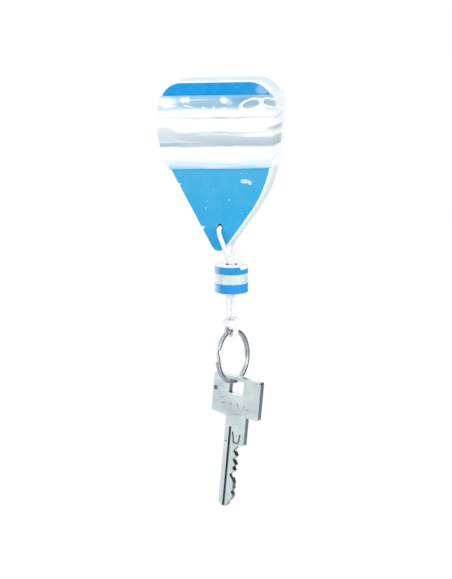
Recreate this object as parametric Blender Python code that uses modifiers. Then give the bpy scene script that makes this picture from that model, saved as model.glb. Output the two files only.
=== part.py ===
"""Floating keychain: a foam float, a cord with a foam bead, a split ring and a cylinder key, hanging.

Metres, +Z up. The origin is the middle of the float's top edge. The float's printed face looks along -Y.
"""

import math

import bmesh
import bpy
from mathutils import Matrix, Vector

# Float: a die-cut sheet of foam. Its outline is a polygon of corners, each with its own rounding radius.
# Corner places are measured from the middle of the cord hole, which lies HOLE_DROP under the top edge.
FLOAT_THICKNESS = 0.013
HOLE_DROP = 0.0671
TOP_LEFT = (-0.0234, 0.0664)
TOP_LEFT_RADIUS = 0.0107
TOP_RIGHT = (0.0313, 0.0682)
TOP_RIGHT_RADIUS = 0.0115
RIGHT_FLANK = (0.0255, 0.0198)
RIGHT_FLANK_RADIUS = 0.060
TIP = (-0.0017, -0.0141)
TIP_RADIUS = 0.0037
LEFT_FLANK = (-0.0300, 0.0420)
LEFT_FLANK_RADIUS = 0.040
CORNER_STEPS = 12
HOLE_RADIUS = 0.0017
EDGE_ROUNDING = 0.0003
FILM_INSET = 0.0001

# Print on the front, and the sleeve of film round the middle
GLUE_LINE = 0.00005
FILM_THICKNESS = 0.0003
BAND_TOP = 0.0613
BAND_BOTTOM = 0.0272
BAND_SLANT = math.radians(1.7)
BAND_FILM = 0.0003
BAND_GAP = 0.00015

# Bead: three foam discs, laminated and bored through
BEAD_RADIUS = 0.0077
BEAD_DISCS = (0.0037, 0.0046, 0.0043)
BEAD_DROP = 0.0182
BEAD_BORE_RADIUS = 0.0028
BEAD_OFFSET = 0.0018
BEAD_ROUNDING = 0.0003

# Cord
CORD_DIAMETER = 0.0021
STRAND_SPACING = 0.0022
SEAT_GAP = 0.0003

# Split ring: one rectangular wire wound in nearly two turns that lie side by side
RING_OUTER_RADIUS = 0.0125
WIRE_RADIAL = 0.0015
WIRE_AXIAL = 0.00095
TURN_GAP = 0.0001
WIRE_ROUNDING = 0.0003
RING_DROP = 0.0609
RING_OFFSET = 0.0004
RING_HEADING = math.radians(14)
SPLIT_ANGLE = math.radians(11)
SPLIT_HALF_ANGLE = math.radians(13)
CROSSOVER_HALF_ANGLE = math.radians(9)

# Knot on the ring: a wrap round both strands and two loops over the wire
LOOP_CORD_RADIUS = 0.0008
LOOP_INNER_RADIUS = 0.00175
LOOP_GAP = 0.0006
WRAP_DEPTH_RADIUS = 0.0024
KNOT_LIFT = 0.0047
CORE_FOOT = 0.0019

# Key, in its own plane: right and up from the ring's wire, on which the slot's top left corner hangs
KEY_THICKNESS = 0.0028
KEY_TILT = math.radians(9.7)
KEY_CLEARANCE = 0.00025
HEAD_LEFT = -0.0099
HEAD_RIGHT = 0.0156
HEAD_BRIDGE = 0.0016
HEAD_HEIGHT = 0.0180
HEAD_CORNER = 0.0008
HEAD_STEP = 0.0009
SLOT_WIDTH = 0.0077
SLOT_HEIGHT = 0.0065
NECK_LEFT = -0.0016
NECK_WIDTH = 0.0107
NECK_LENGTH = 0.0140
BLADE_WIDTH = 0.0079
BLADE_LENGTH = 0.0294
GROOVE_WIDTH = 0.0013
GROOVE_DEPTH = 0.0010
FRONT_GROOVE_INSET = 0.0028
FRONT_GROOVE_DROP = 0.0057
BACK_GROOVE_INSET = 0.0051
BACK_GROOVE_DROP = 0.0065
PUNCH_RADIUS = 0.0011
PUNCH_INSET = 0.0014
PUNCH_RISE = 0.0008

# Corners of the blade's tip: right of the blade's back edge, above the tip, and radius
BLADE_TIP = (
    ((0.0, 0.0023), 0.0016),
    ((0.0018, 0.0), 0.0012),
    ((0.0036, 0.0), 0.0006),
    ((0.0070, 0.0052), 0.0006),
)
# The bitting from the tip up: each corner's depth in from the blade's edge and its drop under the shoulder
BITTING = (
    (0.0009, 0.0231),
    (0.0018, 0.0221),
    (0.0009, 0.0203),
    (0.0012, 0.0188),
    (0.0010, 0.0176),
    (0.0018, 0.0159),
    (0.0034, 0.0141),
    (0.0011, 0.0119),
    (0.0021, 0.0105),
    (0.0007, 0.0091),
    (0.0024, 0.0067),
    (0.0007, 0.0049),
    (0.0024, 0.0027),
    (0.0010, 0.0006),
)
# The short U-shaped groove on the blade's front: right of the blade's back edge and above the shoulder
U_GROOVE = (
    (0.0039, 0.0062),
    (0.0049, 0.0008),
    (0.0082, 0.0008),
    (0.0088, 0.0055),
    (0.0080, 0.0055),
    (0.0075, 0.0017),
    (0.0056, 0.0017),
    (0.0047, 0.0062),
)


def clear_scene():
    for thing in list(bpy.data.objects):
        bpy.data.objects.remove(thing, do_unlink=True)


clear_scene()
PARTS = bpy.data.collections.new("floating_keychain")
CUTTERS = bpy.data.collections.new("cutters")
for collection in (PARTS, CUTTERS):
    bpy.context.scene.collection.children.link(collection)

STAND_UPRIGHT = Matrix.Rotation(math.pi / 2, 4, "X")
HOLE_HEIGHT = -HOLE_DROP
FACE_OUTLINE = (
    (TOP_LEFT, TOP_LEFT_RADIUS),
    (LEFT_FLANK, LEFT_FLANK_RADIUS),
    (TIP, TIP_RADIUS),
    (RIGHT_FLANK, RIGHT_FLANK_RADIUS),
    (TOP_RIGHT, TOP_RIGHT_RADIUS),
)


def finish(name, colour, roughness, metallic=0.0):
    """A Principled material for one sub-part."""
    material = bpy.data.materials.new(name)
    material.use_nodes = True
    shader = material.node_tree.nodes["Principled BSDF"]
    shader.inputs["Base Color"].default_value = (*colour, 1.0)
    shader.inputs["Roughness"].default_value = roughness
    shader.inputs["Metallic"].default_value = metallic
    material.diffuse_color = (*colour, 1.0)
    return material


WHITE_FOAM = finish("white_foam", (0.84, 0.89, 0.91), 0.85)
BLUE_FOAM = finish("blue_foam", (0.03, 0.36, 0.76), 0.75)
BLUE_PRINT = finish("blue_print", (0.06, 0.42, 0.76), 0.35)
BAND_PRINT = finish("band_print", (0.80, 0.85, 0.89), 0.2)
WHITE_CORD = finish("white_cord", (0.88, 0.88, 0.90), 0.7)
NICKEL_PLATE = finish("nickel_plate", (0.62, 0.62, 0.62), 0.22, 1.0)
NICKEL_SILVER = finish("nickel_silver", (0.66, 0.67, 0.64), 0.35, 1.0)


def add_object(name, data, material=None, place=None):
    """Links new geometry as a part, or as a cutter when it has no material."""
    thing = bpy.data.objects.new(name, data)
    if material is None:
        CUTTERS.objects.link(thing)
        thing.hide_render = True
        thing.display_type = "WIRE"
    else:
        PARTS.objects.link(thing)
        data.materials.append(material)
    if place is not None:
        thing.matrix_world = place
    return thing


def as_mesh(curve_object):
    """Turns a curve object into a mesh object with its caps welded."""
    bpy.context.view_layer.update()
    graph = bpy.context.evaluated_depsgraph_get()
    mesh = bpy.data.meshes.new_from_object(curve_object.evaluated_get(graph))
    shape = bmesh.new()
    shape.from_mesh(mesh)
    bmesh.ops.remove_doubles(shape, verts=shape.verts, dist=1e-6)
    bmesh.ops.dissolve_limit(
        shape, angle_limit=math.radians(0.05), use_dissolve_boundaries=False, verts=shape.verts, edges=shape.edges
    )
    bmesh.ops.recalc_face_normals(shape, faces=shape.faces)
    shape.to_mesh(mesh)
    shape.free()
    name = curve_object.name
    solid = bpy.data.objects.new(name, mesh)
    for collection in list(curve_object.users_collection):
        collection.objects.link(solid)
    solid.matrix_world = curve_object.matrix_world.copy()
    solid.hide_render = curve_object.hide_render
    solid.display_type = curve_object.display_type
    bpy.data.objects.remove(curve_object, do_unlink=True)
    solid.name = name
    return solid


def combine(target, tool, operation):
    """Adds an exact Boolean of a mesh tool to a mesh object."""
    modifier = target.modifiers.new(f"{operation.lower()}_{tool.name}", "BOOLEAN")
    modifier.operation = operation
    modifier.solver = "EXACT"
    modifier.object = tool


def round_edges(thing, width, segments=2):
    modifier = thing.modifiers.new("rounded_edges", "BEVEL")
    modifier.width = width
    modifier.segments = segments
    modifier.limit_method = "ANGLE"
    modifier.angle_limit = math.radians(50)


def shade(thing, angle=35):
    thing.data.shade_smooth()
    thing.data.set_sharp_from_angle(angle=math.radians(angle))


def rounded_outline(corners, steps=CORNER_STEPS):
    """Points round a polygon whose corners are (place, radius), with each corner as an arc."""
    points = []
    count = len(corners)
    for index, (place, radius) in enumerate(corners):
        here = Vector(place)
        to_last = (Vector(corners[index - 1][0]) - here).normalized()
        to_next = (Vector(corners[(index + 1) % count][0]) - here).normalized()
        if radius <= 0:
            points.append(here)
            continue
        half = to_last.angle(to_next) / 2
        centre = here + (to_last + to_next).normalized() * radius / math.sin(half)
        start = here + to_last * radius / math.tan(half) - centre
        end = here + to_next * radius / math.tan(half) - centre
        turn = start.angle_signed(end)
        for step in range(steps + 1):
            part = -turn * step / steps
            cosine, sine = math.cos(part), math.sin(part)
            points.append(centre + Vector((start.x * cosine - start.y * sine, start.x * sine + start.y * cosine)))
    return points


def circle_points(radius, steps=24, centre=(0.0, 0.0)):
    angles = [2 * math.pi * step / steps for step in range(steps)]
    return [(centre[0] + radius * math.cos(a), centre[1] + radius * math.sin(a)) for a in angles]


def plate(name, outlines, thickness, material=None, place=None):
    """A flat plate from closed outlines, the later ones holes in the first, centred on its thickness."""
    curve = bpy.data.curves.new(name, "CURVE")
    curve.dimensions = "2D"
    curve.fill_mode = "BOTH"
    curve.extrude = thickness / 2
    for outline in outlines:
        spline = curve.splines.new("POLY")
        spline.points.add(len(outline) - 1)
        for point, (x, y) in zip(spline.points, outline):
            point.co = (x, y, 0.0, 1.0)
        spline.use_cyclic_u = True
    return as_mesh(add_object(name, curve, material, place))


def grown(corners, gap):
    """The float's corners for an outline that lies this far outside it, as radii and corner places."""
    places = [Vector(place) for place, _ in corners]
    result = []
    for index, (place, radius) in enumerate(corners):
        here = places[index]
        to_last = (places[index - 1] - here).normalized()
        to_next = (places[(index + 1) % len(places)] - here).normalized()
        half = to_last.angle(to_next) / 2
        outward = -(to_last + to_next).normalized()
        result.append((tuple(here + outward * gap / math.sin(half)), radius + gap))
    return result


def upright(x=0.0, y=0.0, z=0.0):
    """Stands a plate drawn flat up into the XZ plane, its drawing's front towards -Y."""
    return Matrix.Translation((x, y, z)) @ STAND_UPRIGHT


def make_float():
    """Foam body, printed film and the sleeve round the middle."""
    outline = rounded_outline(FACE_OUTLINE)
    hole = circle_points(HOLE_RADIUS)
    body = plate("float_body", (outline,), FLOAT_THICKNESS, WHITE_FOAM, upright(z=HOLE_HEIGHT))
    round_edges(body, EDGE_ROUNDING)
    combine(body, plate("cord_hole", (hole,), FLOAT_THICKNESS * 2, None, upright(z=HOLE_HEIGHT)), "DIFFERENCE")
    shade(body)
    film_middle = -(FLOAT_THICKNESS / 2 + GLUE_LINE + FILM_THICKNESS / 2)
    film_outline = rounded_outline(grown(FACE_OUTLINE, -FILM_INSET))
    film = plate("face_film", (film_outline, hole), FILM_THICKNESS, BLUE_PRINT, upright(y=film_middle, z=HOLE_HEIGHT))
    shade(film)
    back_face = FLOAT_THICKNESS / 2
    front_face = back_face + GLUE_LINE + FILM_THICKNESS
    inner_depth = back_face + front_face + 2 * BAND_GAP
    middle = (back_face - front_face) / 2
    inner = plate(
        "band_inside",
        (rounded_outline(grown(FACE_OUTLINE, BAND_GAP)),),
        inner_depth,
        None,
        upright(y=middle, z=HOLE_HEIGHT),
    )
    band = plate(
        "wrap_band",
        (rounded_outline(grown(FACE_OUTLINE, BAND_GAP + BAND_FILM)),),
        inner_depth + 2 * BAND_FILM,
        BAND_PRINT,
        upright(y=middle, z=HOLE_HEIGHT),
    )
    width = 2 * (TOP_RIGHT[0] - LEFT_FLANK[0])
    slab = bpy.data.meshes.new("band_height")
    shape = bmesh.new()
    bmesh.ops.create_cube(shape, size=1.0)
    bmesh.ops.scale(shape, vec=(width, 2 * inner_depth, BAND_TOP - BAND_BOTTOM), verts=shape.verts)
    shape.to_mesh(slab)
    shape.free()
    slab_middle = HOLE_HEIGHT + (BAND_TOP + BAND_BOTTOM) / 2
    slab_place = Matrix.Translation((0, 0, slab_middle)) @ Matrix.Rotation(-BAND_SLANT, 4, "Y")
    height = add_object("band_height", slab, None, slab_place)
    combine(band, height, "INTERSECT")
    combine(band, inner, "DIFFERENCE")
    shade(band)


def turned(name, profile, steps, material, place):
    """A solid turned from a closed profile of (radius, height) points, listed down its outer side first."""
    mesh = bpy.data.meshes.new(name)
    shape = bmesh.new()
    points = [shape.verts.new((radius, 0.0, height)) for radius, height in profile]
    for first, second in zip(points, points[1:] + points[:1]):
        shape.edges.new((first, second))
    shape.to_mesh(mesh)
    shape.free()
    thing = add_object(name, mesh, material, place)
    screw = thing.modifiers.new("turned", "SCREW")
    screw.steps = steps
    screw.render_steps = steps
    screw.use_merge_vertices = True
    screw.merge_threshold = 0.00001
    screw.use_smooth_shade = True
    return thing


def make_bead():
    """Three discs with glue lines between them, on one bore."""
    names = (("bead_top", BLUE_FOAM), ("bead_middle", WHITE_FOAM), ("bead_bottom", BLUE_FOAM))
    top = HOLE_HEIGHT - BEAD_DROP
    for index, ((name, material), disc) in enumerate(zip(names, BEAD_DISCS)):
        cut_top = BEAD_ROUNDING if index == 0 else 0.0
        cut_bottom = BEAD_ROUNDING if index == len(names) - 1 else 0.0
        profile = [(BEAD_RADIUS - cut_top, 0.0)]
        if cut_top:
            profile.append((BEAD_RADIUS, -cut_top))
        profile.append((BEAD_RADIUS, -disc + cut_bottom))
        if cut_bottom:
            profile.append((BEAD_RADIUS - cut_bottom, -disc))
        profile += [(BEAD_BORE_RADIUS, -disc), (BEAD_BORE_RADIUS, 0.0)]
        turned(name, profile, 40, material, Matrix.Translation((BEAD_OFFSET, 0.0, top)))
        top -= disc + GLUE_LINE


RING_WIRE_RADIUS = RING_OUTER_RADIUS - WIRE_RADIAL / 2
RING_CENTRE = Vector((RING_OFFSET, 0.0, HOLE_HEIGHT - RING_DROP))
RING_NEAR = Vector((-math.sin(RING_HEADING), -math.cos(RING_HEADING), 0.0))
RING_UP = Vector((0.0, 0.0, 1.0))
RING_AXIS = RING_NEAR.cross(RING_UP)
KNOT_CENTRE = RING_CENTRE + RING_UP * (
    RING_WIRE_RADIUS - WIRE_RADIAL / 2 - LOOP_GAP + LOOP_INNER_RADIUS
)


def frame_matrix(x_axis, y_axis, z_axis, place):
    return Matrix.Translation(place) @ Matrix((x_axis, y_axis, z_axis)).transposed().to_4x4()


def make_ring():
    """One rectangular wire along nearly two turns, crossing from the first turn to the second at the split."""
    profile = bpy.data.curves.new("wire_section", "CURVE")
    profile.dimensions = "2D"
    corner = (WIRE_RADIAL / 2, WIRE_AXIAL / 2)
    corners = [((corner[0] * i, corner[1] * j), WIRE_ROUNDING) for i, j in ((1, 1), (-1, 1), (-1, -1), (1, -1))]
    spline = profile.splines.new("POLY")
    section = rounded_outline(corners, 2)
    spline.points.add(len(section) - 1)
    for point, (x, y) in zip(spline.points, section):
        point.co = (x, y, 0.0, 1.0)
    spline.use_cyclic_u = True
    guide = add_object("wire_section", profile)
    wire = bpy.data.curves.new("split_ring", "CURVE")
    wire.dimensions = "3D"
    wire.twist_mode = "Z_UP"
    wire.bevel_mode = "OBJECT"
    wire.bevel_object = guide
    wire.use_fill_caps = True
    step = math.radians(6)
    total = 4 * math.pi - 2 * SPLIT_HALF_ANGLE
    count = round(total / step)
    side = (WIRE_AXIAL + TURN_GAP) / 2
    route = wire.splines.new("POLY")
    route.points.add(count)
    for index, point in enumerate(route.points):
        turn = SPLIT_HALF_ANGLE + total * index / count
        share = (turn - 2 * math.pi + CROSSOVER_HALF_ANGLE) / (2 * CROSSOVER_HALF_ANGLE)
        share = min(max(share, 0.0), 1.0)
        share = share * share * (3 - 2 * share)
        angle = SPLIT_ANGLE + turn
        place = (RING_WIRE_RADIUS * math.cos(angle), RING_WIRE_RADIUS * math.sin(angle), side * (2 * share - 1))
        point.co = (*place, 1.0)
    ring = as_mesh(add_object("split_ring", wire, NICKEL_PLATE, frame_matrix(RING_NEAR, RING_UP, RING_AXIS, RING_CENTRE)))
    shade(ring, 50)


def torus(name, major, minor, place, material=None, squeeze=1.0, sides=28, section=10):
    """A ring of cord: a circle's section swept round, with the ring stretched along its own X by squeeze."""
    curve = bpy.data.curves.new(name, "CURVE")
    curve.dimensions = "3D"
    curve.bevel_depth = minor
    curve.bevel_resolution = 2
    spline = curve.splines.new("POLY")
    spline.points.add(sides - 1)
    for point, (x, y) in zip(spline.points, circle_points(major, sides)):
        point.co = (x * squeeze, y, 0.0, 1.0)
    spline.use_cyclic_u = True
    return as_mesh(add_object(name, curve, material, place))


def make_knot():
    """The cord's two ends, looped over the wire and drawn up under a wrap round both strands."""
    cord_radius = CORD_DIAMETER / 2
    loop_radius = LOOP_INNER_RADIUS + LOOP_CORD_RADIUS
    wrap_height = KNOT_CENTRE + RING_UP * KNOT_LIFT
    across = -RING_AXIS
    wrap_reach = STRAND_SPACING / 2 + CORD_DIAMETER
    wrap = torus(
        "ring_knot",
        WRAP_DEPTH_RADIUS,
        cord_radius,
        frame_matrix(across, RING_NEAR, across.cross(RING_NEAR), wrap_height),
        WHITE_CORD,
        squeeze=wrap_reach / WRAP_DEPTH_RADIUS,
    )
    for index, side in enumerate((-1, 1)):
        centre = KNOT_CENTRE + RING_NEAR * side * (LOOP_CORD_RADIUS + GLUE_LINE)
        loop_place = frame_matrix(across, RING_UP, across.cross(RING_UP), centre)
        loop = torus(f"knot_loop_{index}", loop_radius, LOOP_CORD_RADIUS, loop_place)
        combine(wrap, loop, "UNION")
    filler = bpy.data.meshes.new("knot_core")
    shape = bmesh.new()
    bmesh.ops.create_cone(
        shape,
        cap_ends=True,
        segments=20,
        radius1=WRAP_DEPTH_RADIUS,
        radius2=WRAP_DEPTH_RADIUS,
        depth=KNOT_LIFT - CORE_FOOT,
    )
    shape.to_mesh(filler)
    shape.free()
    core_centre = KNOT_CENTRE + RING_UP * (KNOT_LIFT + CORE_FOOT) / 2
    core = add_object("knot_core", filler, None, Matrix.Translation(core_centre))
    combine(wrap, core, "UNION")
    shade(wrap, 60)


def smooth_route(points, spacing):
    """Points read at an even spacing from a smooth curve through the route's points."""
    dense = []
    ends = [points[0] * 2 - points[1], *points, points[-1] * 2 - points[-2]]
    for before, start, end, after in zip(ends, ends[1:], ends[2:], ends[3:]):
        for step in range(20):
            t = step / 20
            dense.append(
                0.5
                * (
                    2 * start
                    + (end - before) * t
                    + (2 * before - 5 * start + 4 * end - after) * t * t
                    + (3 * start - before - 3 * end + after) * t * t * t
                )
            )
    dense.append(points[-1])
    lengths = [0.0]
    for first, second in zip(dense, dense[1:]):
        lengths.append(lengths[-1] + (second - first).length)
    count = max(2, round(lengths[-1] / spacing))
    result = []
    index = 0
    for step in range(count + 1):
        goal = lengths[-1] * step / count
        while index < len(lengths) - 2 and lengths[index + 1] < goal:
            index += 1
        share = (goal - lengths[index]) / (lengths[index + 1] - lengths[index])
        result.append(dense[index].lerp(dense[index + 1], min(share, 1.0)))
    return result


def make_cord():
    """One cord, up from the knot through the bead, in over the float's face, through its hole and back down."""
    half = STRAND_SPACING / 2
    face = FLOAT_THICKNESS / 2 + GLUE_LINE + FILM_THICKNESS + SEAT_GAP + CORD_DIAMETER / 2
    seat = HOLE_RADIUS - CORD_DIAMETER / 2 - SEAT_GAP
    low = -(HOLE_HEIGHT - KNOT_CENTRE.z) + KNOT_LIFT + CORD_DIAMETER / 2 + SEAT_GAP
    bead_top = -BEAD_DROP
    bead_bottom = -BEAD_DROP - sum(BEAD_DISCS)
    knot_x = RING_OFFSET
    bead_x = BEAD_OFFSET
    lean = (bead_x - knot_x) / ((bead_top + bead_bottom) / 2 - low)

    def middle(height):
        return knot_x + lean * (height - low)

    front = [
        (middle(low) - half, -0.0002, low),
        (middle(low + 0.0035) - half, -0.0003, low + 0.0035),
        (middle(bead_bottom) - half, -0.0004, bead_bottom),
        (middle(bead_bottom + 0.0050) - half * 0.85, -half * 0.55, bead_bottom + 0.0050),
        (middle(bead_top - 0.0030) - half * 0.35, -half * 0.95, bead_top - 0.0030),
        (middle(bead_top) - half * 0.1, -half * 1.1, bead_top),
        (bead_x + 0.0005, -0.0030, bead_top + 0.0019),
        (bead_x + 0.0010, -0.0059, bead_top + 0.0042),
        (bead_x + 0.0011, -face - 0.0001, bead_top + 0.0067),
        (bead_x + 0.0002, -face - 0.0001, bead_top + 0.0100),
        (0.0005, -face - 0.0001, -0.0040),
        (0.0001, -face, -0.0018),
        (0.0, -face + 0.0006, -seat - 0.0003),
        (0.0, -face + 0.0020, -seat),
    ]
    back = []
    for x, y, z in reversed(front):
        if z <= bead_top:
            x = 2 * middle(z) - x
        elif z < bead_top + 0.0080:
            x = 2 * bead_x - x
        back.append((x, -y, z))
    points = [Vector((x, y, z + HOLE_HEIGHT)) for x, y, z in front + [(0.0, 0.0, -seat)] + back]
    curve = bpy.data.curves.new("cord", "CURVE")
    curve.dimensions = "3D"
    curve.bevel_depth = CORD_DIAMETER / 2
    curve.bevel_resolution = 2
    curve.use_fill_caps = True
    route = smooth_route(points, CORD_DIAMETER * 0.4)
    spline = curve.splines.new("POLY")
    spline.points.add(len(route) - 1)
    for point, place in zip(spline.points, route):
        point.co = (*place, 1.0)
    shade(as_mesh(add_object("cord", curve, WHITE_CORD)), 60)


# The slot's top and left walls stay clear of the two turns of wire as the key swings on them
SLOT_REACH = WIRE_AXIAL + TURN_GAP / 2 + KEY_CLEARANCE


def key_outline():
    """The key's outline from its head's top left corner, anticlockwise, with the cuts of its bitting."""
    top = SLOT_REACH + HEAD_BRIDGE
    head_low = top - HEAD_HEIGHT
    shoulder = head_low - NECK_LENGTH
    tip = shoulder - BLADE_LENGTH
    neck_right = NECK_LEFT + NECK_WIDTH
    blade_right = NECK_LEFT + BLADE_WIDTH
    corners = [((HEAD_LEFT, top), HEAD_CORNER), ((HEAD_LEFT, head_low), HEAD_CORNER)]
    corners += [((NECK_LEFT, head_low - HEAD_STEP), HEAD_CORNER / 2)]
    corners += [((NECK_LEFT + right, tip + above), radius) for (right, above), radius in BLADE_TIP]
    corners += [((blade_right - depth, shoulder - drop), 0.0) for depth, drop in BITTING]
    corners += [((blade_right, shoulder), 0.0), ((neck_right, shoulder + HEAD_STEP), HEAD_CORNER / 2)]
    corners += [((neck_right, head_low), HEAD_CORNER / 2)]
    corners += [((HEAD_RIGHT, head_low), HEAD_CORNER), ((HEAD_RIGHT, top), HEAD_CORNER)]
    return rounded_outline(corners, 4)


def box_cutter(name, low, high, place):
    """A box cutter between two corners of a drawing's plane and depth."""
    mesh = bpy.data.meshes.new(name)
    shape = bmesh.new()
    bmesh.ops.create_cube(shape, size=1.0)
    bmesh.ops.scale(shape, vec=[b - a for a, b in zip(low, high)], verts=shape.verts)
    bmesh.ops.translate(shape, vec=[(a + b) / 2 for a, b in zip(low, high)], verts=shape.verts)
    shape.to_mesh(mesh)
    shape.free()
    return add_object(name, mesh, None, place)


def make_key():
    """A stamped and milled key that hangs on the ring by its slot's top left corner."""
    across = -RING_AXIS
    right = across * math.cos(KEY_TILT) - RING_UP * math.sin(KEY_TILT)
    up = across * math.sin(KEY_TILT) + RING_UP * math.cos(KEY_TILT)
    pivot = RING_CENTRE - RING_UP * RING_WIRE_RADIUS
    place = frame_matrix(right, up, right.cross(up), pivot)
    slot_left = -SLOT_REACH
    slot_top = SLOT_REACH
    slot_corners = (
        ((slot_left, slot_top), 0.0002),
        ((slot_left, slot_top - SLOT_HEIGHT), 0.0004),
        ((slot_left + SLOT_WIDTH, slot_top - SLOT_HEIGHT), 0.0004),
        ((slot_left + SLOT_WIDTH, slot_top), 0.0004),
    )
    slot = rounded_outline(slot_corners, 3)
    key = plate("key", (key_outline(), slot), KEY_THICKNESS, NICKEL_SILVER, place)
    front = KEY_THICKNESS / 2
    head_low = slot_top + HEAD_BRIDGE - HEAD_HEIGHT
    shoulder = head_low - NECK_LENGTH
    tip = shoulder - BLADE_LENGTH
    reach = GROOVE_DEPTH * 2
    grooves = (
        (FRONT_GROOVE_INSET, FRONT_GROOVE_DROP, front - GROOVE_DEPTH, front + reach),
        (BACK_GROOVE_INSET, BACK_GROOVE_DROP, -front - reach, GROOVE_DEPTH - front),
    )
    for index, (inset, drop, back, face) in enumerate(grooves):
        left = NECK_LEFT + inset - GROOVE_WIDTH / 2
        low = (left, tip - reach, back)
        high = (left + GROOVE_WIDTH, head_low - drop, face)
        combine(key, box_cutter(f"key_groove_{index}", low, high, place), "DIFFERENCE")
    u_outline = [(NECK_LEFT + x, shoulder + y) for x, y in U_GROOVE]
    u_groove = plate("key_u_groove", (u_outline,), GROOVE_DEPTH, None, place @ Matrix.Translation((0, 0, front)))
    combine(key, u_groove, "DIFFERENCE")
    punch_mesh = bpy.data.meshes.new("key_punch")
    shape = bmesh.new()
    bmesh.ops.create_cone(
        shape, cap_ends=True, segments=16, radius1=PUNCH_RADIUS, radius2=PUNCH_RADIUS, depth=GROOVE_DEPTH
    )
    shape.to_mesh(punch_mesh)
    shape.free()
    punch_place = Matrix.Translation((HEAD_LEFT + PUNCH_INSET, slot_top - SLOT_HEIGHT + PUNCH_RISE, front))
    combine(key, add_object("key_punch", punch_mesh, None, place @ punch_place), "DIFFERENCE")
    shade(key)


make_float()
make_bead()
make_ring()
make_knot()
make_cord()
make_key()
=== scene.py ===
"""Floating keychain: a printed foam float, a braided cord with a foam bead, a split ring and a cylinder key.

Metres, +Z up. The origin is the middle of the float's top edge, and the printed front looks along -Y.
"""

import math

import bmesh
import bpy
from mathutils import Matrix, Vector, noise


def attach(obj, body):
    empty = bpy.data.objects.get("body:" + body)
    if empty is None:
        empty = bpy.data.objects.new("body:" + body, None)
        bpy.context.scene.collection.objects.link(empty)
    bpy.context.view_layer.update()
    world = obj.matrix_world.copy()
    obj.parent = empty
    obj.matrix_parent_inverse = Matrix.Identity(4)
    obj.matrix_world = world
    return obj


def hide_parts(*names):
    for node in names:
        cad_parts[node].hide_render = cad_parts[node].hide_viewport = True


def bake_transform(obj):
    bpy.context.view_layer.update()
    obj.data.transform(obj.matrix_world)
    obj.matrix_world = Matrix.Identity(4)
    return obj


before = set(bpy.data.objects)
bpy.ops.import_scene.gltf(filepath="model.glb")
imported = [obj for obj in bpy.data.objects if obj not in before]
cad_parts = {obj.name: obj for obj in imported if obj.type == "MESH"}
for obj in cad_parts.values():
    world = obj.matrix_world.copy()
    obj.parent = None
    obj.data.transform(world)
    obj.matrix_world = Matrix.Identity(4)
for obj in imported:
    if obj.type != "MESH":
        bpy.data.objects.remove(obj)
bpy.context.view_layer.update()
scene = bpy.context.scene

# Camera: the photograph looks at the printed front from 21 degrees to its right and 10.5 degrees above,
# without perspective, and leans 3 degrees, so that the hanging chain runs a little to the right.
# One pixel of the photograph is 0.455 mm, and the cord's hole is 224.9 pixels across and 224.6 down in it.
azimuth = math.radians(21)
elevation = math.radians(10.5)
roll = math.radians(3)
pixel = 0.000455
photo_width = 452
photo_height = 579
hole = Vector((0.0, 0.0, -0.0671))
to_right = (photo_width / 2 - 224.9) * pixel
to_bottom = (photo_height / 2 - 224.6) * pixel
distance = 1.5
level_right = Vector((math.cos(azimuth), math.sin(azimuth), 0.0))
level_back = Vector(
    (math.sin(azimuth) * math.cos(elevation), -math.cos(azimuth) * math.cos(elevation), math.sin(elevation))
)
level_up = level_back.cross(level_right)
image_right = level_right * math.cos(roll) - level_up * math.sin(roll)
image_up = level_right * math.sin(roll) + level_up * math.cos(roll)
place = hole + image_right * to_right - image_up * to_bottom + level_back * distance
camera_data = bpy.data.cameras.new("camera")
camera_data.type = "ORTHO"
camera_data.ortho_scale = photo_height * pixel
camera_data.clip_start = 0.05
camera_data.clip_end = 20.0
camera = bpy.data.objects.new("camera", camera_data)
scene.collection.objects.link(camera)
turned = Matrix((image_right, image_up, level_back)).transposed().to_4x4()
camera.matrix_world = Matrix.Translation(place) @ turned
scene.camera = camera
scene.view_settings.view_transform = "Standard"

# Cord: one soft braid of white polyester, 2.1 mm thick, passed through the float's hole. Both its halves
# run down through the bead side by side to the knot on the ring, and it bends where it leaves the float.
cord_radius = 0.00105
half_gap = 0.0011
float_half = 0.0065
film_reach = 0.00035
clearance = 0.0003
face_depth = float_half + film_reach + clearance + cord_radius
seat_drop = 0.00035
knot_across = 0.0004
knot_height = -0.0427
strand_lean = 0.0769
point_spacing = 0.00013
yarns = 5
yarn_pitch = 0.00026
fuzz_per_metre = 1800


def strand_middle(height):
    """Where the line midway between the two strands lies, from the knot up to the bead's top."""
    return knot_across + strand_lean * (height - knot_height)


def smooth_path(points, spacing):
    """Points at an even spacing on a smooth curve through the given ones."""
    dense = []
    steps = 40
    ends = [points[0] * 2 - points[1], *points, points[-1] * 2 - points[-2]]
    for before, start, end, after in zip(ends, ends[1:], ends[2:], ends[3:]):
        for step in range(steps):
            t = step / steps
            linear_part = 2 * start + (end - before) * t
            square_part = (2 * before - 5 * start + 4 * end - after) * t * t
            cube_part = (3 * start - before - 3 * end + after) * t * t * t
            dense.append(0.5 * (linear_part + square_part + cube_part))
    dense.append(points[-1].copy())
    lengths = [0.0]
    for first, second in zip(dense, dense[1:]):
        lengths.append(lengths[-1] + (second - first).length)
    count = max(2, round(lengths[-1] / spacing))
    result = []
    index = 0
    for step in range(count + 1):
        goal = lengths[-1] * step / count
        while index < len(lengths) - 2 and lengths[index + 1] < goal:
            index += 1
        share = (goal - lengths[index]) / max(lengths[index + 1] - lengths[index], 1e-12)
        result.append(dense[index].lerp(dense[index + 1], min(share, 1.0)))
    return result


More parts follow.
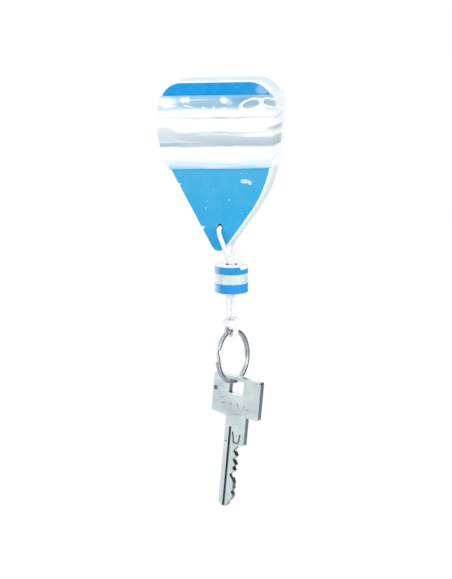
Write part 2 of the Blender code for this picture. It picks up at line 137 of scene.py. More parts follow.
def braided_tube(name, path, radius, closed=False, around=40):
    """A tube of braid along a path: crossing yarns stand out as small diamonds on its surface."""
    mesh = bpy.data.meshes.new(name)
    shape = bmesh.new()
    count = len(path)
    tangents = []
    for index in range(count):
        before = path[index - 1] if closed or index else path[0]
        after = path[(index + 1) % count] if closed or index < count - 1 else path[-1]
        tangents.append((after - before).normalized())
    normal = tangents[0].orthogonal().normalized()
    rings = []
    along = 0.0
    for index, (point, tangent) in enumerate(zip(path, tangents)):
        normal = (normal - tangent * normal.dot(tangent)).normalized()
        side = tangent.cross(normal)
        if index:
            along += (point - path[index - 1]).length
        ring = []
        for step in range(around):
            angle = 2 * math.pi * step / around
            left = math.sin(yarns * angle + along / yarn_pitch)
            right = math.sin(yarns * angle - along / yarn_pitch)
            lift = math.sqrt(abs(left * right))
            fuzz = noise.noise(point * fuzz_per_metre + Vector((angle, 0.0, 0.0)))
            reach = radius * (0.91 + 0.09 * lift + 0.02 * fuzz)
            ring.append(shape.verts.new(point + (normal * math.cos(angle) + side * math.sin(angle)) * reach))
        rings.append(ring)
    pairs = list(zip(rings, rings[1:]))
    if closed:
        pairs.append((rings[-1], rings[0]))
    for first, second in pairs:
        for step in range(around):
            after = (step + 1) % around
            shape.faces.new((first[step], first[after], second[after], second[step]))
    if not closed:
        shape.faces.new(list(reversed(rings[0])))
        shape.faces.new(rings[-1])
    shape.to_mesh(mesh)
    shape.free()
    return mesh


def add_piece(name, mesh, body, material):
    """Links a mesh as a piece that rides on a body, or on none where it is to be blended between two."""
    thing = bpy.data.objects.new(name, mesh)
    scene.collection.objects.link(thing)
    mesh.materials.append(material)
    mesh.shade_smooth()
    if body is not None:
        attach(thing, body)
    return thing


def linear(text):
    """A colour picked as sRGB hex, as the linear values that a shader takes."""
    shares = [int(text[index : index + 2], 16) / 255 for index in (1, 3, 5)]
    values = [share / 12.92 if share <= 0.04045 else ((share + 0.055) / 1.055) ** 2.4 for share in shares]
    return values + [1.0]


def add_node(material, kind, settings=None, stops=(), **links):
    """Adds a node. Settings go on its properties and inputs, and stops on its colour ramp.

    Links name the sockets that feed it, and _0, _1 and so on stand for its inputs by number.
    """
    node = material.node_tree.nodes.new(kind)
    for key, value in (settings or {}).items():
        if isinstance(key, int) or key in node.inputs:
            node.inputs[key].default_value = value
        else:
            setattr(node, key, value)
    for index, (position, colour) in enumerate(stops):
        elements = node.color_ramp.elements
        element = elements[index] if index < 2 else elements.new(position)
        element.position = position
        element.color = linear(colour)
    for key, source in links.items():
        socket = node.inputs[int(key[1:])] if key[1:].isdigit() else node.inputs[key.replace("_", " ")]
        material.node_tree.links.new(source, socket)
    return node


def new_material(name, roughness, metallic=0.0, ior=None):
    """A material and its shader, which keeps the default index of refraction on metal."""
    material = bpy.data.materials.new(name)
    material.use_nodes = True
    shader = material.node_tree.nodes["Principled BSDF"]
    shader.inputs["Roughness"].default_value = roughness
    shader.inputs["Metallic"].default_value = metallic
    if ior is not None:
        shader.inputs["IOR"].default_value = ior
    return material, shader


def finish(material, colour, roughness, relief):
    """Feeds a material's shader with its patterns of colour, roughness and relief."""
    shader = material.node_tree.nodes["Principled BSDF"]
    for name, source in (("Base Color", colour), ("Roughness", roughness), ("Normal", relief)):
        material.node_tree.links.new(source, shader.inputs[name])


# White polyester is soft and matt with a faint sheen. The yarns are in the mesh, and their fibres, which are
# too fine to show, are drawn 0.4 mm wide. Handling leaves it a little uneven in tone.
white_braid, shader = new_material("White braided polyester", 0.62, ior=1.55)
surface = add_node(white_braid, "ShaderNodeTexCoord").outputs["Object"]
fibres = add_node(white_braid, "ShaderNodeTexNoise", {"Scale": 1 / 0.000385, "Detail": 3.0}, Vector=surface)
soil = add_node(white_braid, "ShaderNodeTexNoise", {"Scale": 1 / 0.00625, "Detail": 2.0}, Vector=surface)
tint = add_node(
    white_braid,
    "ShaderNodeValToRGB",
    stops=((0.35, "#E9ECF2"), (0.70, "#F7F8FB")),
    Fac=soil.outputs["Fac"],
)
rough = add_node(
    white_braid, "ShaderNodeMapRange", {"To Min": 0.52, "To Max": 0.74}, _0=fibres.outputs["Fac"]
)
bump = add_node(
    white_braid, "ShaderNodeBump", {"Strength": 0.35, "Distance": 0.00006}, Height=fibres.outputs["Fac"]
)
finish(white_braid, tint.outputs["Color"], rough.outputs["Result"], bump.outputs["Normal"])
shader.inputs["Subsurface Weight"].default_value = 0.15
shader.inputs["Subsurface Radius"].default_value = (0.0006, 0.0006, 0.0006)
shader.inputs["Sheen Weight"].default_value = 0.2

front_route = [
    (strand_middle(knot_height) - half_gap, -0.0002, knot_height),
    (strand_middle(-0.0392) - half_gap, -0.0003, -0.0392),
    (strand_middle(-0.0308) - half_gap, -0.0004, -0.0308),
    (strand_middle(-0.0258) - half_gap * 0.85, -half_gap * 0.55, -0.0258),
    (strand_middle(-0.0212) - half_gap * 0.35, -half_gap * 0.95, -0.0212),
    (strand_middle(-0.0182) - half_gap * 0.1, -half_gap * 1.1, -0.0182),
    (0.0023, -0.0030, -0.0163),
    (0.0028, -0.0059, -0.0140),
    (0.0029, -face_depth - 0.0001, -0.0115),
    (0.0020, -face_depth - 0.0001, -0.0082),
    (0.0005, -face_depth - 0.0001, -0.0040),
    (0.0001, -face_depth, -0.0018),
    (0.0, -face_depth + 0.0006, -seat_drop - 0.0003),
    (0.0, -face_depth + 0.0020, -seat_drop),
]
back_route = []
for x, y, z in reversed(front_route):
    if z < -0.0181:
        x = 2 * strand_middle(z) - x
    elif z < -0.0102:
        x = 0.0036 - x
    back_route.append((x, -y, z))
cord_points = [Vector(point) + hole for point in front_route + [(0.0, 0.0, -seat_drop)] + back_route]
cord_path = smooth_path(cord_points, point_spacing)
cord = add_piece("braided_cord", braided_tube("braided_cord", cord_path, cord_radius), None, white_braid)
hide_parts("cord")
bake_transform(cord)

# Float body: one die-cut piece of white closed-cell foam, 13 mm thick. The cutting rule leaves a faint grain
# across the thickness of its wall, and the back half of the wall is painted a little greyer as painted shade.


def dressed_copy(node, name, body, material, bevel=0.0, angle=30):
    """A copy of a CAD node's shape with welded faces, fine rounded edges and a material of its own."""
    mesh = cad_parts[node].data.copy()
    mesh.name = name
    mesh.materials.clear()
    shape = bmesh.new()
    shape.from_mesh(mesh)
    bmesh.ops.remove_doubles(shape, verts=shape.verts, dist=2e-6)
    bmesh.ops.dissolve_limit(shape, angle_limit=math.radians(0.3), verts=shape.verts, edges=shape.edges)
    for face in shape.faces:
        face.smooth = True
    for edge in shape.edges:
        edge.smooth = True
    shape.to_mesh(mesh)
    shape.free()
    if mesh.has_custom_normals:
        mesh.attributes.remove(mesh.attributes["custom_normal"])
    thing = add_piece(name, mesh, body, material)
    mesh.set_sharp_from_angle(angle=math.radians(angle))
    if bevel:
        modifier = thing.modifiers.new("fine_edges", "BEVEL")
        modifier.width = bevel
        modifier.segments = 3
        modifier.limit_method = "ANGLE"
        modifier.angle_limit = math.radians(angle)
    evened = thing.modifiers.new("even_faces", "WEIGHTED_NORMAL")
    evened.keep_sharp = True
    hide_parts(node)


# Cut polyethylene foam is a matt, slightly blue white, with faint clouds of dirt 11 mm wide.
foam, shader = new_material("White closed-cell foam", 0.82, ior=1.45)
surface = add_node(foam, "ShaderNodeTexCoord").outputs["Object"]
parts = add_node(foam, "ShaderNodeSeparateXYZ", Vector=surface)
clouds = add_node(foam, "ShaderNodeTexNoise", {"Scale": 1 / 0.0111, "Detail": 5.0}, Vector=surface)
# Painted shade: the wall is painted greyer towards the back.
back_shade = add_node(
    foam,
    "ShaderNodeMapRange",
    {"interpolation_type": "SMOOTHSTEP", "From Min": -0.0048, "From Max": 0.0005},
    _0=parts.outputs["Y"],
)
back_shaded_wall = add_node(
    foam,
    "ShaderNodeMix",
    {"data_type": "RGBA", 6: linear("#F3FAFC"), 7: linear("#D9E3E7")},
    _0=back_shade.outputs["Result"],
)
dirt = add_node(
    foam, "ShaderNodeMapRange", {"From Min": 0.45, "From Max": 0.75, "To Max": 0.16}, _0=clouds.outputs["Fac"]
)
dirt_and_back_shade = add_node(
    foam,
    "ShaderNodeMix",
    {"data_type": "RGBA", 7: linear("#A9BEC6")},
    _0=dirt.outputs["Result"],
    _6=back_shaded_wall.outputs[2],
)
grain_size = (1 / 0.00111, 1 / 0.0167, 1 / 0.00111)
stretched = add_node(foam, "ShaderNodeMapping", {"Scale": grain_size}, Vector=surface)
grain = add_node(
    foam, "ShaderNodeTexNoise", {"Scale": 1.0, "Detail": 2.0}, Vector=stretched.outputs["Vector"]
)
bump = add_node(foam, "ShaderNodeBump", {"Strength": 0.3, "Distance": 0.00008}, Height=grain.outputs["Fac"])
rough = add_node(foam, "ShaderNodeMapRange", {"To Min": 0.74, "To Max": 0.92}, _0=clouds.outputs["Fac"])
finish(foam, dirt_and_back_shade.outputs[2], rough.outputs["Result"], bump.outputs["Normal"])
dressed_copy("float_body", "foam_float", "float", foam)

# Printed front: a thin satin film laminated to the foam, deep blue at the top and lighter blue below, with
# a few pale specks and glints, and nicks at its left edge where white foam shows.
print_slant = math.radians(-1.7)
fine_edge = 0.00008


def print_coordinates(material, sway):
    """The print's flat coordinates in millimetres, across and up, wavering a little, and its height alone."""
    surface = add_node(material, "ShaderNodeTexCoord").outputs["Object"]
    upright = add_node(
        material,
        "ShaderNodeMapping",
        {
            "Location": (0.0, 0.3, 0.0),
            "Rotation": (math.radians(-90), 0.0, 0.0),
            "Scale": (1000.0, 1000.0, 1000.0),
        },
        Vector=surface,
    )
    level = add_node(
        material, "ShaderNodeMapping", {"Rotation": (0.0, 0.0, print_slant)}, Vector=upright.outputs["Vector"]
    )
    drift = add_node(
        material,
        "ShaderNodeTexNoise",
        {"Scale": 1 / 11.1, "Detail": 3.0, "Roughness": 0.6},
        Vector=level.outputs["Vector"],
    )
    centred = add_node(
        material,
        "ShaderNodeVectorMath",
        {"operation": "SUBTRACT", 1: (0.5, 0.5, 0.5)},
        _0=drift.outputs["Color"],
    )
    scaled = add_node(
        material,
        "ShaderNodeVectorMath",
        {"operation": "MULTIPLY", 1: (sway, sway, 0.0)},
        _0=centred.outputs["Vector"],
    )
    flat = add_node(
        material,
        "ShaderNodeVectorMath",
        {"operation": "ADD"},
        _0=level.outputs["Vector"],
        _1=scaled.outputs["Vector"],
    )
    parts = add_node(material, "ShaderNodeSeparateXYZ", Vector=flat.outputs["Vector"])
    return surface, flat.outputs["Vector"], parts.outputs["Y"]


def spot(material, flat, centre, half_size, turn=0.0, soft=0.5, outline=False):
    """A soft-edged ellipse on a print, in millimetres: 1 inside it and 0 outside, or only its outline."""
    placed = add_node(
        material,
        "ShaderNodeMapping",
        {
            "vector_type": "TEXTURE",
            "Location": (*centre, 0.0),
            "Rotation": (0.0, 0.0, math.radians(turn)),
            "Scale": (*half_size, 1e6),
        },
        Vector=flat,
    )
    reach = add_node(
        material, "ShaderNodeVectorMath", {"operation": "LENGTH"}, Vector=placed.outputs["Vector"]
    ).outputs["Value"]
    if outline:
        off = add_node(material, "ShaderNodeMath", {"operation": "SUBTRACT", 1: 1.0}, _0=reach)
        reach = add_node(
            material, "ShaderNodeMath", {"operation": "ABSOLUTE"}, _0=off.outputs["Value"]
        ).outputs["Value"]
    low, high = (0.05, soft) if outline else (1.0 - soft, 1.0)
    mask = add_node(
        material,
        "ShaderNodeMapRange",
        {"interpolation_type": "SMOOTHSTEP", "From Min": low, "From Max": high, "To Min": 1.0, "To Max": 0.0},
        _0=reach,
    )
    return mask.outputs["Result"]


def paint(material, under, colour, mask, strength=1.0):
    """Lays a colour over a print where a mask says."""
    amount = add_node(material, "ShaderNodeMath", {"operation": "MULTIPLY", 1: strength}, _0=mask)
    mix = add_node(
        material,
        "ShaderNodeMix",
        {"data_type": "RGBA", 7: linear(colour)},
        _0=amount.outputs["Value"],
        _6=under,
    )
    return mix.outputs[2]


# Printed polypropylene film has a satin skin. Its ink is mottled with grains 1 mm wide, as coarse as they
# need to be to show, and with blotches 8 mm wide.
film, shader = new_material("Blue printed film", 0.42, ior=1.45)
surface, flat, height = print_coordinates(film, 0.5)
step = add_node(film, "ShaderNodeMapRange", {"From Min": -72.0, "From Max": 0.0}, _0=height)
blues = add_node(
    film,
    "ShaderNodeValToRGB",
    stops=(
        (0.0, "#2AA3DC"),
        (0.14, "#2CA6DA"),
        (0.30, "#38A9D9"),
        (0.44, "#44ACD9"),
        (0.455, "#30A0D6"),
        (0.90, "#0090D4"),
        (0.97, "#0093DA"),
    ),
    Fac=step.outputs["Result"],
)
grain = add_node(film, "ShaderNodeTexNoise", {"Scale": 1 / 0.00111, "Detail": 4.0}, Vector=surface)
blotch = add_node(film, "ShaderNodeTexNoise", {"Scale": 1 / 0.00769, "Detail": 3.0}, Vector=surface)
mottle = add_node(
    film, "ShaderNodeMath", {"operation": "MULTIPLY"}, _0=grain.outputs["Fac"], _1=blotch.outputs["Fac"]
)
light_ink = add_node(
    film, "ShaderNodeMapRange", {"From Min": 0.2, "From Max": 0.36}, _0=mottle.outputs["Value"]
)
colour = paint(film, blues.outputs["Color"], "#6FC3EA", light_ink.outputs["Result"], 0.14)
# Colour, middle, half size, turn, softness and strength, in millimetres and degrees: a pale glow at the
# top right, a double glint, six specks and two nicks.
for shade, centre, size, turn, soft, strength in (
    ("#8CB8E8", (24.4, -3.2), (4.6, 3.4), 10, 0.6, 0.9),
    ("#D9EEF8", (11.9, -45.6), (2.6, 1.4), 0, 0.6, 0.8),
    ("#D9EEF8", (14.3, -46.2), (1.3, 1.4), 20, 0.6, 0.8),
    ("#BFE6F8", (3.8, -54.1), (0.45, 0.7), 0, 0.6, 0.8),
    ("#BFE6F8", (-8.1, -57.7), (0.5, 0.5), 0, 0.6, 0.8),
    ("#BFE6F8", (-6.9, -54.6), (0.35, 0.3), 0, 0.6, 0.8),
    ("#BFE6F8", (10.6, -41.9), (0.5, 0.3), 0, 0.6, 0.8),
    ("#BFE6F8", (-3.4, -49.0), (0.3, 0.25), 0, 0.6, 0.8),
    ("#BFE6F8", (9.2, -60.2), (0.3, 0.3), 0, 0.6, 0.8),
    ("#E9F5FA", (-20.0, -46.6), (1.2, 0.6), 20, 0.5, 1.0),
    ("#E9F5FA", (-10.0, -66.6), (1.0, 0.9), 40, 0.5, 1.0),
):
    colour = paint(film, colour, shade, spot(film, flat, centre, size, turn, soft), strength)
rough = add_node(film, "ShaderNodeMapRange", {"To Min": 0.32, "To Max": 0.5}, _0=blotch.outputs["Fac"])
bump = add_node(film, "ShaderNodeBump", {"Strength": 0.12, "Distance": 0.00005}, Height=grain.outputs["Fac"])
finish(film, colour, rough.outputs["Result"], bump.outputs["Normal"])
shader.inputs["Specular IOR Level"].default_value = 0.25
dressed_copy("face_film", "printed_front", "float", film, bevel=fine_edge)

# Sleeve: a thin, clear glossy film shrunk round the float's middle, printed on its inner side with white
# and grey level bands, like light on water, and with a few pale glints near its top edge. The bands go on
# round the sides for three quarters of the thickness, and the rest is plain white.
sleeve_bottom = -39.6
sleeve_height = 34.1
bands_reach = 0.0095

# Shrunk polyester film is glossy, with slack wrinkles 22 mm wide and rub marks 2 mm wide.
sleeve, shader = new_material("Glossy printed sleeve film", 0.16, ior=1.5)
surface, flat, height = print_coordinates(sleeve, 1.4)
step = add_node(
    sleeve,
    "ShaderNodeMapRange",
    {"From Min": sleeve_bottom, "From Max": sleeve_bottom + sleeve_height},
    _0=height,
)
band_colours = (
    (-39.6, "#7CC6EA"),
    (-39.0, "#A9D6EE"),
    (-38.0, "#CBE4F2"),
    (-36.0, "#E6EFF8"),
    (-33.5, "#FAFBFE"),
    (-29.9, "#FCFDFE"),
    (-29.2, "#CBD7DE"),
    (-28.7, "#A9BAC5"),
    (-27.0, "#B7C6D0"),
    (-24.5, "#C6D3DC"),
    (-22.9, "#C3CFD6"),
    (-22.2, "#F4F7F9"),
    (-21.0, "#FBFCFE"),
    (-16.6, "#F8FAFC"),
    (-15.9, "#D3DDE4"),
    (-15.2, "#F3F7FA"),
    (-12.9, "#FBFDFE"),
    (-12.0, "#CBDCE6"),
    (-10.5, "#90B8D2"),
    (-8.5, "#93BFDC"),
    (-6.6, "#8FC0E0"),
    (-5.5, "#8EC2E2"),
)
bands = add_node(
    sleeve,
    "ShaderNodeValToRGB",
    stops=[((height_mm - sleeve_bottom) / sleeve_height, shade) for height_mm, shade in band_colours],
    Fac=step.outputs["Result"],
)
colour = bands.outputs["Color"]
streak_size = (1 / 28.6, 1 / 1.11, 1 / 20)
streaks = add_node(sleeve, "ShaderNodeMapping", {"Scale": streak_size}, Vector=flat)
veil = add_node(
    sleeve,
    "ShaderNodeTexNoise",
    {"Scale": 1.0, "Detail": 4.0, "Roughness": 0.55},
    Vector=streaks.outputs["Vector"],
)
for shade, start, end, strength in (("#FFFFFF", 0.5, 0.68, 0.55), ("#B9C9D3", 0.46, 0.3, 0.25)):
    haze = add_node(
        sleeve, "ShaderNodeMapRange", {"From Min": start, "From Max": end}, _0=veil.outputs["Fac"]
    )
    colour = paint(sleeve, colour, shade, haze.outputs["Result"], strength)
# Colour, middle, half size, turn, softness and strength, in millimetres and degrees: first what breaks the
# bands, then the glints near the top edge, and last the inside of the two rings of light.
for shade, centre, size, turn, soft, strength in (
    ("#FBFDFE", (-23.5, -8.6), (8.5, 3.6), 0, 0.7, 0.85),
    ("#9FC3DC", (4.0, -8.2), (15.0, 3.0), 0, 0.8, 0.55),
    ("#62A6D0", (18.0, -8.0), (15.0, 3.4), 0, 0.8, 0.85),
    ("#CFDBE5", (-25.0, -23.6), (7.2, 4.4), 0, 0.35, 0.8),
    ("#BECEDA", (30.5, -20.9), (7.6, 1.6), 4, 0.6, 1.0),
    ("#F8FBFD", (24.0, -23.9), (17.0, 1.5), 2, 0.6, 0.9),
    ("#AEBBC2", (1.5, -22.6), (5.0, 0.45), 0, 0.7, 0.7),
    ("#A9B4BB", (3.0, -16.1), (5.0, 0.5), 0, 0.7, 0.8),
    ("#B5C6D0", (12.5, -16.0), (4.0, 0.4), 3, 0.7, 0.6),
    ("#A8BAC5", (2.0, -28.5), (24.0, 0.5), 0, 0.8, 0.6),
    ("#FFFFFF", (-14.6, -7.5), (2.4, 1.8), 15, 0.6, 0.95),
    ("#FFFFFF", (-12.3, -7.4), (1.3, 2.3), -10, 0.6, 0.8),
    ("#FFFFFF", (5.4, -7.9), (2.6, 1.9), -12, 0.5, 0.95),
    ("#C7DCEA", (7.6, -8.6), (2.6, 1.9), -12, 0.6, 0.7),
    ("#FFFFFF", (-5.0, -11.0), (1.3, 0.45), -15, 0.6, 1.0),
    ("#FFFFFF", (0.1, -11.2), (0.7, 1.0), 10, 0.6, 1.0),
    ("#FFFFFF", (5.2, -11.8), (1.7, 0.35), 5, 0.6, 1.0),
    ("#FFFFFF", (-12.6, -10.4), (4.2, 0.45), -8, 0.7, 0.9),
    ("#FFFFFF", (-21.0, -10.6), (5.0, 0.5), 4, 0.7, 0.9),
    ("#FFFFFF", (20.0, -11.6), (7.5, 1.6), 2, 0.6, 0.9),
    ("#9FB4C6", (18.4, -10.0), (4.6, 2.0), 14, 0.3, 0.85),
    ("#A5BACB", (28.2, -9.3), (3.6, 1.2), -4, 0.4, 0.8),
):
    colour = paint(sleeve, colour, shade, spot(sleeve, flat, centre, size, turn, soft), strength)
for centre, size, turn in (((18.4, -10.0), (5.3, 2.4), 14), ((28.2, -9.3), (5.0, 1.9), -6)):
    colour = paint(sleeve, colour, "#FFFFFF", spot(sleeve, flat, centre, size, turn, 0.3, outline=True))
places = add_node(sleeve, "ShaderNodeSeparateXYZ", Vector=surface)
below_glints = add_node(
    sleeve,
    "ShaderNodeMapRange",
    {"From Min": -14.0, "From Max": -12.0, "To Min": bands_reach, "To Max": 0.0},
    _0=height,
)
above_fade = add_node(sleeve, "ShaderNodeMapRange", {"From Min": -36.5, "From Max": -33.5}, _0=height)
carried = add_node(
    sleeve,
    "ShaderNodeMath",
    {"operation": "MULTIPLY"},
    _0=below_glints.outputs["Result"],
    _1=above_fade.outputs["Result"],
)
behind = add_node(
    sleeve, "ShaderNodeMath", {"operation": "SUBTRACT"}, _0=places.outputs["Y"], _1=carried.outputs["Value"]
)
round_side = add_node(
    sleeve, "ShaderNodeMapRange", {"From Min": -0.0068, "From Max": -0.0055}, _0=behind.outputs["Value"]
)
colour = paint(sleeve, colour, "#FBFDFE", round_side.outputs["Result"], 0.9)
wrinkles = add_node(sleeve, "ShaderNodeTexNoise", {"Scale": 1 / 0.0222, "Detail": 2.0}, Vector=surface)
rub = add_node(sleeve, "ShaderNodeTexNoise", {"Scale": 1 / 0.00238, "Detail": 3.0}, Vector=surface)
rough = add_node(sleeve, "ShaderNodeMapRange", {"To Min": 0.1, "To Max": 0.3}, _0=rub.outputs["Fac"])
bump = add_node(
    sleeve, "ShaderNodeBump", {"Strength": 0.25, "Distance": 0.0004}, Height=wrinkles.outputs["Fac"]
)
finish(sleeve, colour, rough.outputs["Result"], bump.outputs["Normal"])
dressed_copy("wrap_band", "printed_sleeve", "float", sleeve, bevel=fine_edge)

# Bead: three die-cut foam discs, blue, white and blue, laminated with two glue lines and bored through.
# The knife leaves each wall a little hollow and the pressed corners are soft, and the top face, a notch
# at its edge and one side are painted paler as painted highlight.
bead_centre = Vector((0.0018, 0.0, 0.0))
bead_radius = 0.0077
bore_radius = 0.0028
glue = 0.00005
bead_top = hole.z - 0.0182
bead_pivot = bead_centre + Vector((0.0, 0.0, hole.z - 0.0246))
bead_lean = math.radians(3)
soft_corner = 0.00045
sharp_corner = 0.00006
hollow = 0.00012
bore_corner = 0.0002
wobble_per_metre = 420
wobble_depth = 0.00007


def foam_disc(name, node, top, disc, round_top, round_bottom, material):
    """One turned disc of the bead, its outer wall slightly uneven as cut foam is."""
    profile = []
    steps = 6
    turns = [math.pi / 2 * index / steps for index in range(steps + 1)]
    if round_top:
        for angle in turns:
            inward = soft_corner * (1 - math.sin(angle))
            profile.append((bead_radius - inward, -soft_corner * (1 - math.cos(angle))))
    else:
        profile += [(bead_radius - sharp_corner, 0.0), (bead_radius, -2 * sharp_corner)]
    for share in (0.25, 0.4, 0.5, 0.6, 0.75):
        profile.append((bead_radius - hollow * math.sin(math.pi * share), -disc * share))
    if round_bottom:
        for angle in turns:
            inward = soft_corner * (1 - math.cos(angle))
            profile.append((bead_radius - inward, -disc + soft_corner * (1 - math.sin(angle))))
    else:
        profile += [(bead_radius, -disc + 2 * sharp_corner), (bead_radius - sharp_corner, -disc)]
    profile += [(bore_radius + bore_corner, -disc), (bore_radius, -disc + bore_corner)]
    profile += [(bore_radius, -bore_corner), (bore_radius + bore_corner, 0.0)]
    mesh = bpy.data.meshes.new(name)
    shape = bmesh.new()
    around = 96
    rings = []
    for step in range(around):
        angle = 2 * math.pi * step / around
        direction = Vector((math.cos(angle), math.sin(angle), 0.0))
        ring = []
        for radius, height in profile:
            point = direction * radius + Vector((0.0, 0.0, height))
            wobble = noise.noise((point + Vector((0.0, 0.0, top))) * wobble_per_metre) * wobble_depth
            if radius < bore_radius + 0.001:
                wobble = 0.0
            outward = direction * (radius + wobble - 0.00004)
            ring.append(shape.verts.new(bead_centre + outward + Vector((0.0, 0.0, top + height))))
        rings.append(ring)
    for step in range(around):
        first = rings[step]
        second = rings[(step + 1) % around]
        for index in range(len(profile)):
            after = (index + 1) % len(profile)
            shape.faces.new((first[index], first[after], second[after], second[index]))
    bmesh.ops.recalc_face_normals(shape, faces=shape.faces)
    shape.to_mesh(mesh)
    shape.free()
    turned = Matrix.Rotation(bead_lean, 4, "Y")
    mesh.transform(Matrix.Translation(bead_pivot) @ turned @ Matrix.Translation(-bead_pivot))
    thing = add_piece(name, mesh, "bead", material)
    mesh.set_sharp_from_angle(angle=math.radians(40))
    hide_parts(node)


def cut_foam(name, plain, deep, pale, side_highlight_colour):
    """Dyed foam with fine cells and the upright streaks of its knife.

    One side is painted paler as a painted highlight, and so are the top face and a notch at its edge. Its
    cells are 0.4 mm wide, as coarse as they need to be to show, and its streaks 0.8 mm wide and 11 mm long.
    """
    material, shader = new_material(name, 0.7, ior=1.45)
    surface = add_node(material, "ShaderNodeTexCoord").outputs["Object"]
    cells = add_node(material, "ShaderNodeTexVoronoi", {"Scale": 1 / 0.000385}, Vector=surface)
    streak_size = (1 / 0.00077, 1 / 0.00077, 1 / 0.0111)
    stretched = add_node(material, "ShaderNodeMapping", {"Scale": streak_size}, Vector=surface)
    marks = add_node(
        material, "ShaderNodeTexNoise", {"Scale": 1.0, "Detail": 2.0}, Vector=stretched.outputs["Vector"]
    )
    clouds = add_node(material, "ShaderNodeTexNoise", {"Scale": 1 / 0.00385, "Detail": 4.0}, Vector=surface)
    tone = add_node(
        material, "ShaderNodeValToRGB", stops=((0.3, deep), (0.72, plain)), Fac=clouds.outputs["Fac"]
    )
    streak = add_node(
        material,
        "ShaderNodeMapRange",
        {"From Min": 0.5, "From Max": 0.75, "To Max": 0.4},
        _0=marks.outputs["Fac"],
    )
    streaked = paint(material, tone.outputs["Color"], pale, streak.outputs["Result"])
    relief = add_node(
        material,
        "ShaderNodeMath",
        {"operation": "ADD"},
        _0=cells.outputs["Distance"],
        _1=marks.outputs["Fac"],
    )
    bump = add_node(
        material, "ShaderNodeBump", {"Strength": 0.35, "Distance": 0.0001}, Height=relief.outputs["Value"]
    )
    rough = add_node(
        material, "ShaderNodeMapRange", {"To Min": 0.55, "To Max": 0.8}, _0=clouds.outputs["Fac"]
    )
    top_middle = bead_centre + Vector((0.0003, 0.0, bead_top))
    levelled = add_node(
        material,
        "ShaderNodeMapping",
        {"vector_type": "TEXTURE", "Location": top_middle, "Rotation": (0.0, bead_lean, 0.0)},
        Vector=surface,
    ).outputs["Vector"]
    # Painted highlight: the left side is painted paler.
    lit_side = add_node(
        material, "ShaderNodeVectorMath", {"operation": "DOT_PRODUCT", 1: (-0.93, -0.36, 0.0)}, _0=levelled
    )
    side_highlight = add_node(
        material,
        "ShaderNodeMapRange",
        {"From Min": 0.0048, "From Max": 0.0076, "To Max": 0.8},
        _0=lit_side.outputs["Value"],
    )
    side_highlighted = paint(material, streaked, side_highlight_colour, side_highlight.outputs["Result"])
    # Painted highlight: the top face, and a notch at the right of its edge, are painted pale.
    notch_side = add_node(
        material, "ShaderNodeVectorMath", {"operation": "DOT_PRODUCT", 1: (0.93, 0.36, 0.0)}, _0=levelled
    )
    highlight_notch = add_node(
        material,
        "ShaderNodeMapRange",
        {"From Min": 0.0039, "From Max": 0.0043, "To Max": 0.0013},
        _0=notch_side.outputs["Value"],
    )
    parts = add_node(material, "ShaderNodeSeparateXYZ", Vector=levelled)
    raised = add_node(
        material,
        "ShaderNodeMath",
        {"operation": "ADD"},
        _0=parts.outputs["Z"],
        _1=highlight_notch.outputs["Result"],
    )
    top_highlight = add_node(
        material,
        "ShaderNodeMapRange",
        {"From Min": -0.0004, "From Max": -0.00015},
        _0=raised.outputs["Value"],
    )
    top_highlighted = paint(material, side_highlighted, "#F4F8FA", top_highlight.outputs["Result"])
    finish(material, top_highlighted, rough.outputs["Result"], bump.outputs["Normal"])
    shader.inputs["Sheen Weight"].default_value = 0.35
    shader.inputs["Sheen Roughness"].default_value = 0.35
    return material


# Each foam's last colour is the painted highlight on its left side.
blue_foam = cut_foam("Blue cut foam", "#0A97DE", "#0486CE", "#3CAEE6", "#BFE2F4")
bead_white = cut_foam("White cut foam", "#D6E4E5", "#C4D5D8", "#EAF2F3", "#F4F8F8")
level = bead_top
for name, node, disc, round_top, round_bottom, material, slot in (
    ("bead_disc_top", "bead_top", 0.0037, True, False, blue_foam, "blue_foam"),
    ("bead_disc_middle", "bead_middle", 0.0046, False, False, bead_white, "white_foam"),
    ("bead_disc_bottom", "bead_bottom", 0.0043, False, True, blue_foam, "blue_foam"),
):
    foam_disc(name, node, level, disc, round_top, round_bottom, material)
    level -= disc + glue

# Knot: the cord's two ends loop over the ring's wire and come up again, and a double wrap of the same
# braid binds them under the bead. Its turns are drawn tight on each other.
ring_centre = Vector((0.0004, 0.0, hole.z - 0.0609))
ring_middle_radius = 0.01175
wire_half = 0.00075
heading = math.radians(14)
near = Vector((-math.sin(heading), -math.cos(heading), 0.0))
across = Vector((math.cos(heading), -math.sin(heading), 0.0))
up = Vector((0.0, 0.0, 1.0))
loop_gap = 0.0006
loop_inside = 0.00175
loop_cord = 0.0008
loop_radius = loop_inside + loop_cord
loop_steps = 220
wrap_lift = 0.0047
wrap_drop = 0.0010
wrap_rise = 0.0026
wrap_half_depth = 0.0024
wrap_turns = 2.0
wrap_steps = 520
knot_centre = ring_centre + up * (ring_middle_radius - wire_half - loop_gap + loop_inside)
wrap_centre = knot_centre + up * wrap_lift
knot_mesh = bpy.data.meshes.new("tied_knot")
knot_shape = bmesh.new()
for index, side in enumerate((-1, 1)):
    centre = knot_centre + near * side * (loop_cord + 0.00005)
    loop = []
    for step in range(loop_steps):
        angle = 2 * math.pi * step / loop_steps
        drawn_up = max(0.0, math.sin(angle))
        stretch = 1.0 + 0.12 * drawn_up**2
        point = across * (loop_radius * math.cos(angle)) + up * (loop_radius * stretch * math.sin(angle))
        loop.append(centre + point - near * side * 0.0003 * drawn_up)
    knot_shape.from_mesh(braided_tube(f"knot_loop_{index}", loop, loop_cord, closed=True, around=32))
coil = []
for step in range(wrap_steps):
    share = step / (wrap_steps - 1)
    angle = 2 * math.pi * wrap_turns * share + 0.6
    wide = 0.0031 - 0.0001 * math.sin(angle * 2)
    point = wrap_centre + across * (wide * math.cos(angle) + 0.0003)
    point = point + near * (wrap_half_depth * math.sin(angle))
    coil.append(point + up * ((share - 0.5) * wrap_rise - wrap_drop))
knot_shape.from_mesh(braided_tube("knot_wrap", coil, cord_radius * 0.9, around=32))
